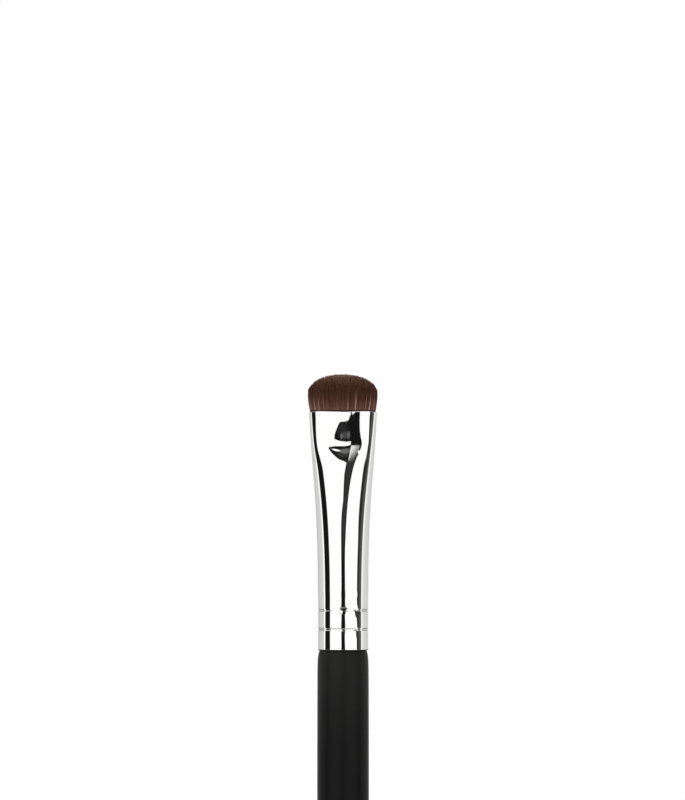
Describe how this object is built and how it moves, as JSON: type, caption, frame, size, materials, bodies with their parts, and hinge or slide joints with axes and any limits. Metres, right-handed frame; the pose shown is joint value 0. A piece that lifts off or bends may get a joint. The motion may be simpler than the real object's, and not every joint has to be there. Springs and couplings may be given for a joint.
{
  "type": "eyeshadow brush",
  "caption": "Short domed hair tuft in a flattened chrome ferrule, crimped to a slim round tapered handle, for laying and blending eye shadow.",
  "frame": {"origin": "middle of the handle's straight grip, on the brush's axis, where a hand or a brush stand holds it", "axes": "+Z runs along the handle towards the hair, +X across the broad side of the tuft, and -Y points out of the broad side that the picture shows"},
  "size_m": [0.0104, 0.0076, 0.17],
  "materials": {
    "black_lacquer": "turned wood under black lacquer with a soft satin sheen",
    "glue": "set glue film",
    "chrome": "bright polished chrome plate",
    "resin": "clear amber set resin",
    "thread": "waxed cotton thread",
    "hair": "soft dark brown hair with paler tips"
  },
  "bodies": {
    "root": {"handle": "black_lacquer", "handle_glue": "glue", "ferrule": "chrome", "resin_plug": "resin", "binding_thread": "thread", "bristles": "hair"}
  },
  "joints": []
}
